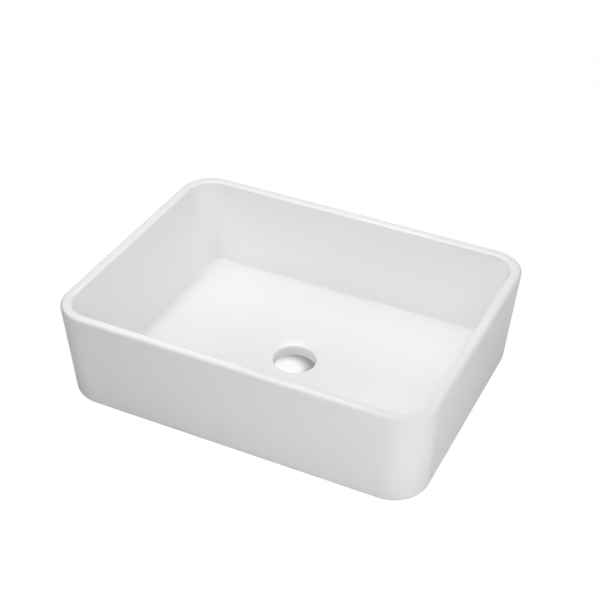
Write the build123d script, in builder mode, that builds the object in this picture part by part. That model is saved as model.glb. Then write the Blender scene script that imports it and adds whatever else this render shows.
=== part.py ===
"""Rectangular countertop basin: one fired ceramic casting on four soft foot pads.

Millimetres, +Z up. The origin is the centre of the footprint, on the worktop.
X runs along the long side, and -Y is the front.
"""
from build123d import *
from math import atan2, cos, pi, sin, sqrt, tan
import os

# Outside of the basin
rim_length = 450.0
rim_width = 350.0
overall_height = 125.0
corner_radius = 42.0
end_wall_lean = 7.0
side_wall_lean = 10.5
foot_edge_radius = 8.0

# Rim
rim_thickness = 12.0
rim_outer_radius = 4.0
rim_inner_radius = 3.5

# Bowl inside: the walls lean in to the floor and run into it in tight coves
end_foot_inset = 45.0
side_foot_inset = 28.0
end_cove_radius = 10.0
side_cove_radius = 4.0
floor_corner_radius = 6.0
floor_height = 17.0
floor_fall = 2.0

# Waste hole in the middle of the floor, in a shallow sloping seat for the waste's flange
waste_bore_radius = 25.5
waste_mouth_radius = 3.0
waste_seat_radius = 40.0
waste_seat_fall = 1.2
waste_flat_width = 3.0
waste_boss_radius = 44.0
waste_boss_height = 3.0

# Underside: a foot ring round a shallow recess
foot_ring_width = 22.0
underside_recess = 4.0

# Foot pads, each in a round seat in the foot ring
pad_radius = 7.0
pad_thickness = 2.5
pad_stand_off = 1.0
pad_edge_radius = 0.6
pad_side_clearance = 0.3

# The casting stands on its pads, so its own foot is a little above the worktop
foot_level = pad_stand_off
casting_height = overall_height - foot_level


def rim_overhang(wall_lean):
    """How far the sharp edge of a leaning wall would stand out past its rounded rim."""
    lean = atan2(wall_lean, casting_height)
    return rim_outer_radius * (1 / tan((pi / 2 - lean) / 2) - 1)


# The rim's rounded edge is the widest place, so the sharp outline is a little larger
sharp_length = rim_length + 2 * rim_overhang(end_wall_lean)
sharp_width = rim_width + 2 * rim_overhang(side_wall_lean)
foot_length = sharp_length - 2 * end_wall_lean
foot_width = sharp_width - 2 * side_wall_lean

# Half sizes of the bowl at its mouth, and where its wall lines would meet the floor
mouth_half_length = rim_length / 2 - rim_thickness
mouth_half_width = rim_width / 2 - rim_thickness
mouth_corner_radius = corner_radius - rim_thickness
foot_half_length = rim_length / 2 - end_foot_inset
foot_half_width = rim_width / 2 - side_foot_inset
floor_edge_level = floor_height + floor_fall
bowl_depth = overall_height - floor_edge_level
end_lean = atan2(mouth_half_length - foot_half_length, bowl_depth)
side_lean = atan2(mouth_half_width - foot_half_width, bowl_depth)
end_cove_top = end_cove_radius * (1 - sin(end_lean))
side_cove_top = side_cove_radius * (1 - sin(side_lean))


def half_size(height, foot_half, lean, cove_radius):
    """Half size of the bowl at a height over the floor's edge: a leaning wall on a round cove."""
    cove_top = cove_radius * (1 - sin(lean))
    if height >= cove_top:
        return foot_half + height * tan(lean)
    cove_reach = cove_radius * tan((pi / 2 - lean) / 2)
    return foot_half - cove_reach + sqrt(cove_radius**2 - (cove_radius - height) ** 2)


def bowl_outline(height):
    """Outline of the bowl at a height over the floor's edge, for the open sketch."""
    share = height / bowl_depth
    corner = floor_corner_radius + share * (mouth_corner_radius - floor_corner_radius)
    half_length = half_size(height, foot_half_length, end_lean, end_cove_radius)
    half_width = half_size(height, foot_half_width, side_lean, side_cove_radius)
    RectangleRounded(2 * half_length, 2 * half_width, corner)


def cove_heights():
    """Heights that turn through the lower cove by equal angles, then climb the rest evenly."""
    turns = 8
    climbs = 6
    if side_cove_top < end_cove_top:
        lower_radius, lower_lean = side_cove_radius, side_lean
    else:
        lower_radius, lower_lean = end_cove_radius, end_lean
    lower_top = min(side_cove_top, end_cove_top)
    upper_top = max(side_cove_top, end_cove_top)
    full_turn = pi / 2 - lower_lean
    heights = [lower_radius * (1 - cos(full_turn * step / turns)) for step in range(turns)]
    heights += [lower_top + (upper_top - lower_top) * step / climbs for step in range(climbs + 1)]
    return heights


# Space inside the bowl, in three lifts: the floor's fall, the coves, and the walls.
# The floor starts from a nearly round outline whose four sides have a short straight part.
# The walls run on past the rim, so that the space cuts right through it.
above_rim = 3.0
cove_levels = cove_heights()
waste_flat_half = waste_seat_radius + waste_flat_width
short_straight = 0.7

with BuildPart() as bowl_space:
    with BuildSketch(Plane.XY.offset(floor_height)):
        RectangleRounded(2 * waste_flat_half, 2 * waste_flat_half, waste_flat_half - short_straight)
    with BuildSketch(Plane.XY.offset(floor_edge_level)):
        bowl_outline(0)
    loft(ruled=True)
    for height in cove_levels:
        with BuildSketch(Plane.XY.offset(floor_edge_level + height)):
            bowl_outline(height)
    loft()
    for height in (cove_levels[-1], bowl_depth + above_rim):
        with BuildSketch(Plane.XY.offset(floor_edge_level + height)):
            bowl_outline(height)
    loft(ruled=True)

# Two radii closer than this are the same
same_radius = 0.01

# Places of the foot pads: on the middle line of the foot ring, at its four corners
ring_outer_length = foot_length - 2 * foot_edge_radius
ring_outer_width = foot_width - 2 * foot_edge_radius
ring_outer_corner = corner_radius - foot_edge_radius
ring_inner_length = ring_outer_length - 2 * foot_ring_width
ring_inner_width = ring_outer_width - 2 * foot_ring_width
ring_inner_corner = ring_outer_corner - foot_ring_width / 2
pad_arc_radius = ring_outer_corner - foot_ring_width / 2
pad_x = ring_outer_length / 2 - ring_outer_corner + pad_arc_radius * cos(pi / 4)
pad_y = ring_outer_width / 2 - ring_outer_corner + pad_arc_radius * sin(pi / 4)
pad_places = {
    "foot_pad_front_left": (-pad_x, -pad_y),
    "foot_pad_front_right": (pad_x, -pad_y),
    "foot_pad_back_left": (-pad_x, pad_y),
    "foot_pad_back_right": (pad_x, pad_y),
}

# The casting: outer walls, bowl, waste hole, recessed underside and pad seats
with BuildPart() as basin_body:
    with BuildSketch(Plane.XY.offset(foot_level)):
        RectangleRounded(foot_length, foot_width, corner_radius)
    with BuildSketch(Plane.XY.offset(overall_height)):
        RectangleRounded(sharp_length, sharp_width, corner_radius)
    loft(ruled=True)
    foot_edges = basin_body.edges().group_by(Axis.Z)[0]
    fillet(foot_edges, radius=foot_edge_radius)
    rim_edges = basin_body.edges().group_by(Axis.Z)[-1]
    fillet(rim_edges, radius=rim_outer_radius)
    add(bowl_space.part, mode=Mode.SUBTRACT)
    rim_face = basin_body.faces().filter_by(Axis.Z).sort_by(Axis.Z)[-1]
    fillet(rim_face.inner_wires()[0].edges(), radius=rim_inner_radius)

    # Recess inside the foot ring, with a boss left standing round the waste hole
    with BuildSketch(Plane.XY.offset(foot_level)):
        RectangleRounded(ring_inner_length, ring_inner_width, ring_inner_corner)
        Circle(waste_boss_radius, mode=Mode.SUBTRACT)
    extrude(amount=underside_recess, mode=Mode.SUBTRACT)
    with BuildSketch(Plane.XY.offset(foot_level)):
        Circle(waste_boss_radius)
    extrude(amount=underside_recess - waste_boss_height, mode=Mode.SUBTRACT)

    # Waste hole: the sloping seat, the bore, and the rounded edge between them
    with BuildSketch(Plane.XY.offset(floor_height - waste_seat_fall)):
        Circle(waste_bore_radius)
    with BuildSketch(Plane.XY.offset(floor_height)):
        Circle(waste_seat_radius)
    loft(ruled=True, mode=Mode.SUBTRACT)
    with BuildSketch():
        Circle(waste_bore_radius)
    extrude(amount=floor_edge_level, mode=Mode.SUBTRACT)
    round_edges = basin_body.edges().filter_by(GeomType.CIRCLE)
    bore_edges = round_edges.filter_by(lambda edge: abs(edge.radius - waste_bore_radius) < same_radius)
    fillet(bore_edges.sort_by(Axis.Z)[-1], radius=waste_mouth_radius)

    # Round seats for the pads
    with BuildSketch(Plane.XY.offset(foot_level)):
        with Locations(*pad_places.values()):
            Circle(pad_radius + pad_side_clearance)
    extrude(amount=pad_thickness - pad_stand_off, mode=Mode.SUBTRACT)
basin_body.part.label = "basin_body"


def make_pad(place):
    """A soft round pad, its lower edge rounded, standing on the worktop at a place."""
    with BuildPart() as pad:
        with BuildSketch():
            with Locations(place):
                Circle(pad_radius)
        extrude(amount=pad_thickness)
        fillet(pad.edges().group_by(Axis.Z)[0], radius=pad_edge_radius)
    return pad


os.makedirs("parts", exist_ok=True)
export_step(basin_body.part, "parts/basin_body.step")
for name, place in pad_places.items():
    pad = make_pad(place)
    pad.part.label = name
    export_step(pad.part, f"parts/{name}.step")
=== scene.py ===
"""Countertop basin: the fired and glazed casting on its four foot pads, in plain studio light.

Metres, +Z up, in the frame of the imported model: X runs along the long side, -Y is the front,
and Z = 0 is the worktop. Every piece is a surface worked out from the sizes below.
"""
from math import atan2, cos, pi, radians, sin, tan

import bpy
import numpy as np
from mathutils import Matrix, Vector


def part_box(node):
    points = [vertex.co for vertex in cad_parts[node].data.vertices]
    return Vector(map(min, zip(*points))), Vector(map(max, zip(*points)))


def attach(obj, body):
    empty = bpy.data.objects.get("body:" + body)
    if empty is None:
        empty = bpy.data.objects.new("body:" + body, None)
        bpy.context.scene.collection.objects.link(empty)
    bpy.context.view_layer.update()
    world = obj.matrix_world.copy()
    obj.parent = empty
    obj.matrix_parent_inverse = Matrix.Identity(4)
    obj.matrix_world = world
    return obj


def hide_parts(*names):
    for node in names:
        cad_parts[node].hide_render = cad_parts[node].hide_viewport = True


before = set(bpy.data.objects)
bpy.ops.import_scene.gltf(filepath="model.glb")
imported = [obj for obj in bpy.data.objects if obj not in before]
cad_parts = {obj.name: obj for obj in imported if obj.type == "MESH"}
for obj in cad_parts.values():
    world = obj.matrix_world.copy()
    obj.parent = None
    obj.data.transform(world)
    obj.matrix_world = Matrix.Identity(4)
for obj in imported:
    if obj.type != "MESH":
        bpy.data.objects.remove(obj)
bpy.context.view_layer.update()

# Sizes of the casting that the frame gives
body_low, body_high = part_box("basin_body")
rim_half_length = (body_high[0] - body_low[0]) / 2
rim_half_width = (body_high[1] - body_low[1]) / 2
rim_level = body_high[2]
foot_level = body_low[2]

# Outside of the casting
outer_corner = 0.042
end_wall_lean = 0.007
side_wall_lean = 0.0105
foot_edge_radius = 0.008
rim_thickness = 0.012
rim_outer_radius = 0.004
rim_inner_radius = 0.0035

# Bowl
end_foot_inset = 0.045
side_foot_inset = 0.028
end_cove_radius = 0.010
side_cove_radius = 0.004
floor_corner = 0.006
floor_level = 0.017
floor_fall = 0.002

# Waste hole, with a shallow conical seat round its rounded mouth
bore_radius = 0.0255
mouth_radius = 0.003
seat_radius = 0.040
seat_fall = 0.0012

# Underside: a foot ring round a shallow recess, and a boss round the waste hole
foot_ring_width = 0.022
underside_recess = 0.004
boss_radius = 0.044
boss_height = 0.003
underside_edge = 0.0008
recess_level = foot_level + underside_recess
boss_level = recess_level - boss_height

# Foot pads
pad_names = ["foot_pad_front_left", "foot_pad_front_right", "foot_pad_back_left", "foot_pad_back_right"]
pad_lower_round = 0.0006
pad_upper_round = 0.0003
pad_dish_radius = 0.0048
pad_dish_depth = 0.0002
pad_middle_radius = 0.0003

# How many steps each surface takes
small_edge_steps = 4
bore_steps = 3
mouth_steps = 16
seat_steps = 6
floor_steps = 40
cove_steps = 14
inner_wall_steps = 18
rim_round_steps = 10
rim_top_steps = 6
outer_wall_steps = 20
foot_round_steps = 14
foot_ring_steps = 6
recess_side_steps = 2
recess_steps = 13
boss_side_steps = 3
boss_face_steps = 7
pad_top_steps = 5
pad_round_steps = 6
pad_dish_steps = 8
pad_sides = 64

# White ground and surroundings: how far they glow to the camera, light and reflect
ground_half = 6.0
open_ground_glow = 0.995
under_basin_radius = 0.06
# Painted pool of light and painted shadow on the ground seen through the waste hole: the pool's middle,
# where the painted light ends and the painted shadow is full, and the glow's share there
painted_pool_middle_x = -0.009
painted_pool_middle_y = -0.003
painted_light_radius = 0.012
painted_shadow_radius = 0.032
painted_pool_glow_share = 0.9
surround_light = 0.08
surround_shine = 0.5

# Angles by which the walls lean out, inside and outside
casting_height = rim_level - foot_level
floor_edge_level = floor_level + floor_fall
bowl_depth = rim_level - floor_edge_level
inner_end_lean = atan2(end_foot_inset - rim_thickness, bowl_depth)
inner_side_lean = atan2(side_foot_inset - rim_thickness, bowl_depth)
outer_end_lean = atan2(end_wall_lean, casting_height)
outer_side_lean = atan2(side_wall_lean, casting_height)


def even_steps(start, end, steps):
    """Values in even steps from the start to the end, with both."""
    return np.linspace(start, end, steps + 1)


def rings(half_length, half_width, corner, level):
    """Rows of half length, half width, corner radius and level, one row for each ring."""
    return np.stack(np.broadcast_arrays(half_length, half_width, corner, level), axis=-1)


def round_rings(radius, level):
    """Rings that are plain circles."""
    return rings(radius, radius, radius, level)


def blend_rings(first, last, steps):
    """Rings in even steps from one ring to another, without the first."""
    share = even_steps(0.0, 1.0, steps)[1:, None]
    return first + (last - first) * share


def waste_rings():
    """The waste hole from its lower edge up: a small round, the bore, the mouth and the seat."""
    edge_turn = even_steps(0.0, pi / 2, small_edge_steps)
    lower_edge = round_rings(
        bore_radius + underside_edge * (1 - np.sin(edge_turn)),
        boss_level + underside_edge * (1 - np.cos(edge_turn)),
    )
    seat_slope = atan2(seat_fall, seat_radius - bore_radius)
    mouth_end = bore_radius + mouth_radius * (1 - sin(seat_slope))
    mouth_end_level = floor_level - (seat_radius - mouth_end) * tan(seat_slope)
    mouth_start = mouth_end_level - mouth_radius * cos(seat_slope)
    bore_levels = even_steps(boss_level + underside_edge, mouth_start, bore_steps)[1:]
    bore = round_rings(bore_radius, bore_levels)
    turn = even_steps(0.0, pi / 2 - seat_slope, mouth_steps)[1:]
    mouth = round_rings(
        bore_radius + mouth_radius * (1 - np.cos(turn)),
        mouth_start + mouth_radius * np.sin(turn),
    )
    seat = blend_rings(mouth[-1], round_rings(seat_radius, floor_level), seat_steps)
    return np.concatenate([lower_edge, bore, mouth, seat])


def bowl_half(height, foot_half, lean, cove_radius):
    """Half size of the bowl at heights over the floor's edge.

    Above the cove it is foot_half + height * tan(lean). In the cove it is the circle of
    cove_radius that touches both that wall line and the floor.
    """
    cove_top = cove_radius * (1 - sin(lean))
    middle = foot_half - cove_radius * tan((pi / 2 - lean) / 2)
    drop = np.clip(cove_radius - height, 0.0, cove_radius)
    in_cove = middle + np.sqrt(cove_radius**2 - drop**2)
    return np.where(height < cove_top, in_cove, foot_half + height * tan(lean))


def bowl_rings(height):
    """Rings of the bowl at heights over the floor's edge."""
    height = np.asarray(height, float)
    mouth_corner = outer_corner - rim_thickness
    return rings(
        bowl_half(height, rim_half_length - end_foot_inset, inner_end_lean, end_cove_radius),
        bowl_half(height, rim_half_width - side_foot_inset, inner_side_lean, side_cove_radius),
        floor_corner + (mouth_corner - floor_corner) * height / bowl_depth,
        floor_edge_level + height,
    )


def floor_rings():
    """The floor: rings grow from the waste seat to the coves and rise by a smooth S curve.

    The rise at a share of the way out is floor_fall * share^2 * (3 - 2 * share).
    """
    share = even_steps(0.0, 1.0, floor_steps)[1:]
    inner = round_rings(seat_radius, floor_level)
    outer = bowl_rings(0.0)
    floor = inner + (outer - inner) * share[:, None]
    floor[:, 3] = floor_level + floor_fall * share**2 * (3 - 2 * share)
    return floor


def cove_and_wall_rings():
    """Coves by even turns of both their arcs, then even steps up the straight walls."""
    end_turn = even_steps(0.0, pi / 2 - inner_end_lean, cove_steps)[1:]
    side_turn = even_steps(0.0, pi / 2 - inner_side_lean, cove_steps)[1:]
    heights = np.concatenate([
        end_cove_radius * (1 - np.cos(end_turn)),
        side_cove_radius * (1 - np.cos(side_turn)),
    ])
    micrometre_digits = 6
    heights = np.unique(heights.round(micrometre_digits))
    mean_lean = (inner_end_lean + inner_side_lean) / 2
    wall_top = bowl_depth - rim_inner_radius * (1 - sin(mean_lean))
    wall = even_steps(heights[-1], wall_top, inner_wall_steps)[1:-1]
    return bowl_rings(np.concatenate([heights, wall]))


def rim_rings():
    """The rim: a round from the inner wall to the top, the top, and a round to the outer wall."""
    share = even_steps(0.0, 1.0, rim_round_steps)
    end_turn = inner_end_lean + share * (pi / 2 - inner_end_lean)
    side_turn = inner_side_lean + share * (pi / 2 - inner_side_lean)
    end_back = rim_inner_radius * (tan((pi / 2 - inner_end_lean) / 2) - np.cos(end_turn))
    side_back = rim_inner_radius * (tan((pi / 2 - inner_side_lean) / 2) - np.cos(side_turn))
    inner = rings(
        rim_half_length - rim_thickness + end_back,
        rim_half_width - rim_thickness + side_back,
        outer_corner - rim_thickness + (end_back + side_back) / 2,
        rim_level - rim_inner_radius * (1 - (np.sin(end_turn) + np.sin(side_turn)) / 2),
    )
    end_turn = pi / 2 - share * (pi / 2 + outer_end_lean)
    side_turn = pi / 2 - share * (pi / 2 + outer_side_lean)
    end_back = rim_outer_radius * (1 - np.cos(end_turn))
    side_back = rim_outer_radius * (1 - np.cos(side_turn))
    outer = rings(
        rim_half_length - end_back,
        rim_half_width - side_back,
        outer_corner - (end_back + side_back) / 2,
        rim_level - rim_outer_radius * (1 - (np.sin(end_turn) + np.sin(side_turn)) / 2),
    )
    top = blend_rings(inner[-1], outer[0], rim_top_steps)
    return np.concatenate([inner, top, outer[1:]])


def outer_wall_and_foot_rings(start):
    """The outer wall leans in to the foot, and a round turns it under to the foot ring."""
    height = casting_height - rim_outer_radius
    end_run = rim_outer_radius * (1 - cos(outer_end_lean)) - height * tan(outer_end_lean)
    side_run = rim_outer_radius * (1 - cos(outer_side_lean)) - height * tan(outer_side_lean)
    end_foot = rim_half_length + end_run
    side_foot = rim_half_width + side_run
    end_centre = end_foot - foot_edge_radius / tan((pi / 2 + outer_end_lean) / 2)
    side_centre = side_foot - foot_edge_radius / tan((pi / 2 + outer_side_lean) / 2)
    share = even_steps(0.0, 1.0, foot_round_steps)
    end_turn = outer_end_lean + share * (pi / 2 - outer_end_lean)
    side_turn = outer_side_lean + share * (pi / 2 - outer_side_lean)
    half_length = end_centre + foot_edge_radius * np.cos(end_turn)
    half_width = side_centre + foot_edge_radius * np.cos(side_turn)
    mean_fall = (np.sin(end_turn) + np.sin(side_turn)) / 2
    taken_in = (end_foot - half_length + side_foot - half_width) / 2
    foot_levels = foot_level + foot_edge_radius * (1 - mean_fall)
    foot = rings(half_length, half_width, outer_corner - taken_in, foot_levels)
    wall = blend_rings(start, foot[0], outer_wall_steps)
    return np.concatenate([wall, foot[1:]])


def underside_rings(start):
    """Foot ring, step up into the recess, recess, and the boss round the waste hole."""
    inward = underside_edge * np.array([-1, -1, 0, 0])
    upward = underside_edge * np.array([0, 0, 0, 1])
    narrower = foot_ring_width * np.array([1, 1, 0.5, 0])
    inner_edge = start - narrower
    land = blend_rings(start, inner_edge - inward, foot_ring_steps)
    turn = even_steps(0.0, pi / 2, small_edge_steps)[1:, None]
    down_edge = land[-1] + inward * np.sin(turn) + upward * (1 - np.cos(turn))
    step_top = inner_edge.copy()
    step_top[3] = recess_level - underside_edge
    step = blend_rings(down_edge[-1], step_top, recess_side_steps)
    up_edge = step[-1] + inward * (1 - np.cos(turn)) + upward * np.sin(turn)
    recess = blend_rings(up_edge[-1], round_rings(boss_radius, recess_level), recess_steps)
    boss_levels = even_steps(recess_level, boss_level, boss_side_steps)[1:]
    boss_side = round_rings(boss_radius, boss_levels)
    boss_radii = even_steps(boss_radius, bore_radius + underside_edge, boss_face_steps)[1:-1]
    boss_face = round_rings(boss_radii, boss_level)
    return np.concatenate([land, down_edge, step, up_edge, recess, boss_side, boss_face])


def rim_angles(on_corner, on_end, on_side):
    """Directions from the middle to points spread evenly along each stretch of the rim."""
    x = rim_half_length - outer_corner
    y = rim_half_width - outer_corner
    turn = np.linspace(0.0, pi / 2, on_corner, endpoint=False)
    outward = outer_corner * np.cos(turn)
    onward = outer_corner * np.sin(turn)
    along_end = np.linspace(-y, y, on_end, endpoint=False)
    along_side = np.linspace(x, -x, on_side, endpoint=False)
    half_x = [np.full(on_end, rim_half_length), x + outward, along_side, -x - onward]
    half_y = [along_end, y + onward, np.full(on_side, rim_half_width), y + outward]
    half_x = np.concatenate(half_x)
    half_y = np.concatenate(half_y)
    return np.arctan2(np.concatenate([half_y, -half_y]), np.concatenate([half_x, -half_x]))


def distance_to_outline(angle, half_length, half_width, corner):
    """Distance from the middle of a rounded rectangle to its edge, along a direction.

    A ray meets the straight end at half_length / cos, the straight side at half_width / sin,
    or, between them, the far side of the circle of the corner's radius about its centre.
    """
    nearly_zero = 1e-9
    across = np.abs(np.cos(angle))
    along = np.abs(np.sin(angle))
    centre_x = half_length - corner
    centre_y = half_width - corner
    to_end = half_length / np.maximum(across, nearly_zero)
    to_side = half_width / np.maximum(along, nearly_zero)
    reach = centre_x * across + centre_y * along
    beside = reach**2 - centre_x**2 - centre_y**2 + corner**2
    to_corner = reach + np.sqrt(np.maximum(beside, 0.0))
    straight = np.where(to_side * across <= centre_x, to_side, to_corner)
    return np.where(to_end * along <= centre_y, to_end, straight)


def basin_points():
    """The casting's whole skin: one ring after another, from the waste hole round to itself."""
    inside = np.concatenate([waste_rings(), floor_rings(), cove_and_wall_rings(), rim_rings()])
    outside = outer_wall_and_foot_rings(inside[-1])
    skin = np.concatenate([inside, outside, underside_rings(outside[-1])])
    half_length, half_width, corner, level = np.split(skin, 4, axis=1)
    corner = np.minimum(corner, np.minimum(half_length, half_width))
    angle = rim_angles(on_corner=28, on_end=60, on_side=80)[None, :]
    reach = distance_to_outline(angle, half_length, half_width, corner)
    x = reach * np.cos(angle)
    y = reach * np.sin(angle)
    return np.stack([x, y, np.broadcast_to(level, x.shape)], axis=-1)


def pad_points(low, high):
    """A pad, turned about its middle: its top, both rounded edges, and the dish underneath.

    Each rounded edge is a quarter circle, and the dish is pad_dish_depth * (1 - share^2) deep.
    """
    radius = (high[0] - low[0]) / 2
    top = even_steps(pad_middle_radius, radius - pad_upper_round, pad_top_steps)[:-1]
    quarter = even_steps(0.0, pi / 2, pad_round_steps)
    share = even_steps(1.0, 0.0, pad_dish_steps)
    across = np.concatenate([
        top,
        radius - pad_upper_round * (1 - np.sin(quarter)),
        radius - pad_lower_round * (1 - np.cos(quarter)),
        np.maximum(pad_dish_radius * share, pad_middle_radius),
    ])[:, None]
    level = np.concatenate([
        np.full(len(top), high[2]),
        high[2] - pad_upper_round * (1 - np.cos(quarter)),
        low[2] + pad_lower_round * (1 - np.sin(quarter)),
        low[2] + pad_dish_depth * (1 - share**2),
    ])[:, None]
    angle = np.linspace(0.0, 2 * pi, pad_sides, endpoint=False)[None, :]
    x = (low[0] + high[0]) / 2 + across * np.cos(angle)
    y = (low[1] + high[1]) / 2 + across * np.sin(angle)
    return np.stack([x, y, np.broadcast_to(level, x.shape)], axis=-1)


def add_object(name, data):
    """A new object in the scene that shows a mesh, a lamp or a camera."""
    added = bpy.data.objects.new(name, data)
    bpy.context.scene.collection.objects.link(added)
    return added


def grid_object(name, points, material, capped):
    """A smooth closed piece from a grid of points in which each row is a ring.

    The last ring joins the first one, or, when the piece is capped, each is closed by a face.
    """
    rows, columns = points.shape[:2]
    bands = rows - 1 if capped else rows
    row, column = np.meshgrid(np.arange(bands), np.arange(columns), indexing="ij")
    next_row = (row + 1) % rows
    next_column = (column + 1) % columns
    faces = np.stack([
        row * columns + column,
        next_row * columns + column,
        next_row * columns + next_column,
        row * columns + next_column,
    ], axis=-1).reshape(-1, 4).tolist()
    if capped:
        last_start = (rows - 1) * columns
        faces.append(list(range(columns)))
        faces.append(list(range(last_start + columns - 1, last_start - 1, -1)))
    mesh = bpy.data.meshes.new(name)
    mesh.from_pydata(points.reshape(-1, 3), [], faces)
    mesh.polygons.foreach_set("use_smooth", np.ones(len(faces), bool))
    mesh.materials.append(material)
    return add_object(name, mesh)


class Tree:
    """The node tree of a material or world, filled one node at a time."""

    # A colour Mix node's own sockets, which share their names with its other kinds
    first_colour = 6
    second_colour = 7
    mixed_colour = 2

    def __init__(self, owner):
        owner.use_nodes = True
        self.nodes = owner.node_tree.nodes
        self.links = owner.node_tree.links
        self.nodes.clear()

    def node(self, kind, settings=None, inputs=None, output=0):
        """Add a node with its settings and input values or links, and give one of its outputs."""
        node = self.nodes.new(kind)
        for name, setting in (settings or {}).items():
            setattr(node, name, setting)
        for name, value in (inputs or {}).items():
            if isinstance(value, Socket):
                self.links.new(value.socket, node.inputs[name])
            else:
                node.inputs[name].default_value = value
        return Socket(self, node.outputs[output]) if node.outputs else None

    def position(self):
        """The shaded point on its object."""
        return self.node("ShaderNodeTexCoord", output="Object")

    def along(self, axis):
        """The X, Y or Z coordinate of the shaded point."""
        return self.node("ShaderNodeSeparateXYZ", inputs={"Vector": self.position()}, output=axis)

    def noise(self, scale, detail):
        """Smooth noise from 0 to 1 over the object, with a number of features a metre."""
        return self.node("ShaderNodeTexNoise", inputs={
            "Vector": self.position(), "Scale": scale, "Detail": detail})

    def smooth_step(self, value, start, end):
        """0 below the start, 1 above the end, and a smooth rise between them."""
        return self.node("ShaderNodeMapRange", {"interpolation_type": "SMOOTHSTEP"}, {
            "Value": value, "From Min": start, "From Max": end})

    def mix_colours(self, share, first, second):
        """The first colour where the share is 0, and the second where it is 1."""
        first, second = [
            colour if isinstance(colour, Socket) else (*colour, 1.0) for colour in (first, second)]
        return self.node("ShaderNodeMix", {"data_type": "RGBA"}, {
            0: share, self.first_colour: first, self.second_colour: second}, self.mixed_colour)


class Socket:
    """An output of a node. Arithmetic with it adds Math nodes to its tree."""

    def __init__(self, tree, socket):
        self.tree = tree
        self.socket = socket

    def maths(self, operation, first, second):
        """A Math node with two inputs."""
        return self.tree.node("ShaderNodeMath", {"operation": operation}, {0: first, 1: second})

    def __add__(self, other):
        return self.maths("ADD", self, other)

    def __radd__(self, other):
        return self.maths("ADD", other, self)

    def __sub__(self, other):
        return self.maths("SUBTRACT", self, other)

    def __rsub__(self, other):
        return self.maths("SUBTRACT", other, self)

    def __mul__(self, other):
        return self.maths("MULTIPLY", self, other)

    def __rmul__(self, other):
        return self.maths("MULTIPLY", other, self)

    def __pow__(self, other):
        return self.maths("POWER", self, other)

    def __rpow__(self, other):
        return self.maths("POWER", other, self)


def glaze_material():
    """White glaze, thick and glossy, that thins out under the foot and stops at the foot ring."""
    bare_below = foot_level + 0.0006
    glazed_above = foot_level + 0.0014
    edge_raggedness = 0.0004
    thin_glaze = (0.898, 0.898, 0.898)
    thick_glaze = (0.908, 0.908, 0.906)
    dark_clay = (0.78, 0.765, 0.735)
    pale_clay = (0.84, 0.825, 0.80)
    clay_roughness = 0.62
    glaze_roughness = 0.075
    clouded_roughness = 0.03

    material = bpy.data.materials.new("white_glaze")
    tree = Tree(material)
    ragged = edge_raggedness * (tree.noise(scale=220.0, detail=3.0) - 0.5)
    glazed = tree.smooth_step(tree.along("Z") + ragged, bare_below, glazed_above)
    cloud = tree.noise(scale=14.0, detail=2.0)
    grain = tree.noise(scale=900.0, detail=4.0)
    ripple = tree.noise(scale=38.0, detail=1.0)
    white = tree.mix_colours(cloud, thin_glaze, thick_glaze)
    bare_clay = tree.mix_colours(grain, dark_clay, pale_clay)
    gloss = cloud * clouded_roughness + (glaze_roughness - clay_roughness)
    waves = tree.node("ShaderNodeBump", inputs={
        "Strength": 0.25, "Distance": 0.0001, "Height": ripple})
    pores = tree.node("ShaderNodeBump", inputs={
        "Strength": 0.3, "Distance": 0.0001, "Height": grain * (1 - glazed), "Normal": waves})
    shader = tree.node("ShaderNodeBsdfPrincipled", inputs={
        "Base Color": tree.mix_colours(glazed, bare_clay, white),
        "Roughness": clay_roughness + glazed * gloss,
        "Normal": pores})
    tree.node("ShaderNodeOutputMaterial", inputs={"Surface": shader})
    return material


def silicone_material():
    """Soft clear silicone: pale, matt and a little cloudy."""
    dull_silicone = (0.77, 0.78, 0.77)
    pale_silicone = (0.83, 0.84, 0.83)
    smooth_roughness = 0.45
    grain_roughness = 0.15

    material = bpy.data.materials.new("silicone")
    tree = Tree(material)
    cloud = tree.noise(scale=300.0, detail=2.0)
    grain = tree.noise(scale=2500.0, detail=3.0)
    bump = tree.node("ShaderNodeBump", inputs={
        "Strength": 0.2, "Distance": 0.00005, "Height": grain})
    shader = tree.node("ShaderNodeBsdfPrincipled", inputs={
        "Base Color": tree.mix_colours(cloud, dull_silicone, pale_silicone),
        "Roughness": smooth_roughness + grain_roughness * grain,
        "Normal": bump,
        "Subsurface Weight": 0.3,
        "Subsurface Scale": 0.002})
    tree.node("ShaderNodeOutputMaterial", inputs={"Surface": shader})
    return material


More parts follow.
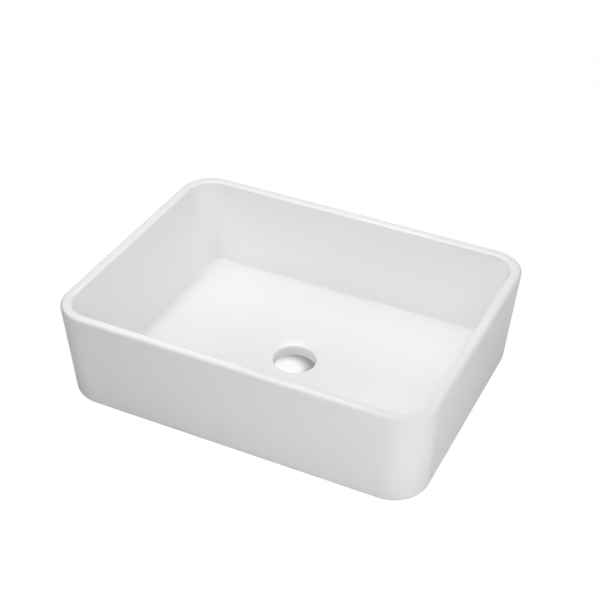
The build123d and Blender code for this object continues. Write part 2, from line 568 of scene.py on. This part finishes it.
def paper_material():
    """White paper that glows to the camera: all white outside, and a painted pool of light in the hole.

    The pool of light and the shadow round it are painted into the glow's colour; the lamps don't make
    them.
    As if light fell in through the waste hole from the right, the painted pool lies to the left of the
    hole's middle, and the paper is painted darker away from it as the basin's shadow.
    the left of the hole's middle, and the paper darkens away from it in the basin's shadow.
    """
    full_glow = (1.0, 1.0, 1.0)
    painted_shadow_glow = (0.3, 0.3, 0.3)
    dull_paper = (0.79, 0.79, 0.79)
    pale_paper = (0.81, 0.81, 0.81)
    outside_from = under_basin_radius
    outside_to = under_basin_radius + painted_shadow_radius

    material = bpy.data.materials.new("paper")
    tree = Tree(material)
    seen = tree.node("ShaderNodeLightPath", output="Is Camera Ray")
    x = tree.along("X") - painted_pool_middle_x
    y = tree.along("Y") - painted_pool_middle_y
    from_pool = (x * x + y * y) ** 0.5
    # Painted shadow: 0 in the painted pool of light, rising to 1 where the paper is painted dark
    shaded = tree.smooth_step(from_pool, painted_light_radius, painted_shadow_radius)
    outside = tree.smooth_step(from_pool, outside_from, outside_to)
    # The glow's colour carries the painted pool of light and the painted shadow under the basin
    glow_with_painted_pool = tree.mix_colours(shaded * (1 - outside), full_glow, painted_shadow_glow)
    glow_share = painted_pool_glow_share + outside * (open_ground_glow - painted_pool_glow_share)
    paper_colour = tree.mix_colours(tree.noise(scale=60.0, detail=2.0), dull_paper, pale_paper)
    paper = tree.node("ShaderNodeBsdfDiffuse", inputs={"Color": paper_colour})
    glow = tree.node("ShaderNodeEmission", inputs={"Color": glow_with_painted_pool})
    surface = tree.node("ShaderNodeMixShader", inputs={0: seen * glow_share, 1: paper, 2: glow})
    tree.node("ShaderNodeOutputMaterial", inputs={"Surface": surface})
    return material


def white_world():
    """White behind the basin for the camera, brighter in reflections than as light."""
    world = bpy.data.worlds.new("studio")
    tree = Tree(world)
    seen = tree.node("ShaderNodeLightPath", output="Is Camera Ray")
    mirrored = tree.node("ShaderNodeLightPath", output="Is Glossy Ray")
    strength = surround_light + seen * (1 - surround_light) + mirrored * surround_shine
    background = tree.node("ShaderNodeBackground", inputs={"Strength": strength})
    tree.node("ShaderNodeOutputWorld", inputs={"Surface": background})
    bpy.context.scene.world = world


def direction_to(azimuth, elevation):
    """Direction from the basin to something that stands round it, angles in radians."""
    return Vector((sin(azimuth) * cos(elevation), -cos(azimuth) * cos(elevation), sin(elevation)))


def add_lamp(name, power, azimuth, elevation, distance, width, height):
    """A soft rectangular lamp aimed at the basin: azimuth 0 is the front, 90 the right."""
    direction = direction_to(radians(azimuth), radians(elevation))
    lamp = bpy.data.lights.new(name, "AREA")
    lamp.shape = "RECTANGLE"
    lamp.size = width
    lamp.size_y = height
    lamp.energy = power
    holder = add_object(name, lamp)
    holder.location = direction * distance + lamp_aim
    holder.rotation_euler = direction.to_track_quat("Z", "Y").to_euler()
    holder.visible_camera = False


# The basin
basin = grid_object("basin", basin_points(), glaze_material(), capped=False)
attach(basin, "root")
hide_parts("basin_body")

# The foot pads
silicone = silicone_material()
for node in pad_names:
    pad = grid_object(node.replace("foot_", ""), pad_points(*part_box(node)), silicone, capped=True)
    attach(pad, "root")
    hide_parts(node)

# The ground and what surrounds it
ground_corners = [
    (-ground_half, -ground_half, 0.0),
    (ground_half, -ground_half, 0.0),
    (ground_half, ground_half, 0.0),
    (-ground_half, ground_half, 0.0),
]
ground_mesh = bpy.data.meshes.new("ground")
ground_mesh.from_pydata(ground_corners, [], [(0, 1, 2, 3)])
ground_mesh.materials.append(paper_material())
ground = add_object("ground", ground_mesh)
white_world()

# Soft lamps round the basin, by name, power and azimuth: one overhead, a high ring, a far
# ring, and low strips shorter than the basin, which light only its outside
lamp_aim = Vector((0.0, 0.0, 0.06))
near = {"distance": 0.7, "width": 0.42, "height": 0.42}
far = {"distance": 1.3, "width": 0.78, "height": 0.78}
strip = {"distance": 0.7, "width": 0.42, "height": 0.10}
add_lamp("overhead", 1.48, 0, elevation=88, **near)
for name, power, azimuth in (
    ("right_back", 1.0, 120),
    ("back", 0.25, 180),
    ("left_back", 0.75, 240),
    ("left", 0.65, 300),
):
    add_lamp(name, power, azimuth, elevation=55, **near)
for name, power, azimuth in (
    ("front", 2.6, 0),
    ("front_right", 2.4, 30),
    ("far_back", 0.35, 210),
):
    add_lamp(name, power, azimuth, elevation=30, **far)
for name, power, azimuth in (
    ("low_front", 0.25, 20),
    ("low_front_right", 0.33, 60),
    ("low_right", 0.45, 80),
    ("low_back_right", 0.13, 120),
):
    add_lamp(name, power, azimuth, elevation=0, **strip)

# A window far behind, which the glaze mirrors just above the waste hole
add_lamp("window", 1.7, 204.6, elevation=50.1, distance=2.49, width=0.24, height=0.42)

# Camera, at the photograph's viewing angle
view_azimuth = radians(24.511)
view_elevation = radians(35.006)
view_roll = radians(1.512)
view_distance = 1.61771
view_right = 0.00662
view_up = 0.08348
lens_mm = 80.831
sensor_mm = 36.0

back = direction_to(view_azimuth, view_elevation)
level_right = Vector((0, 0, 1)).cross(back).normalized()
level_up = back.cross(level_right)
right = cos(view_roll) * level_right + sin(view_roll) * level_up
up = cos(view_roll) * level_up - sin(view_roll) * level_right
eye = view_right * right + view_up * up + view_distance * back
camera_data = bpy.data.cameras.new("camera")
camera_data.lens = lens_mm
camera_data.sensor_width = sensor_mm
camera = add_object("camera", camera_data)
camera.matrix_world = Matrix((
    (right.x, up.x, back.x, eye.x),
    (right.y, up.y, back.y, eye.y),
    (right.z, up.z, back.z, eye.z),
    (0, 0, 0, 1)))
bpy.context.scene.camera = camera
bpy.context.scene.view_settings.view_transform = "Standard"
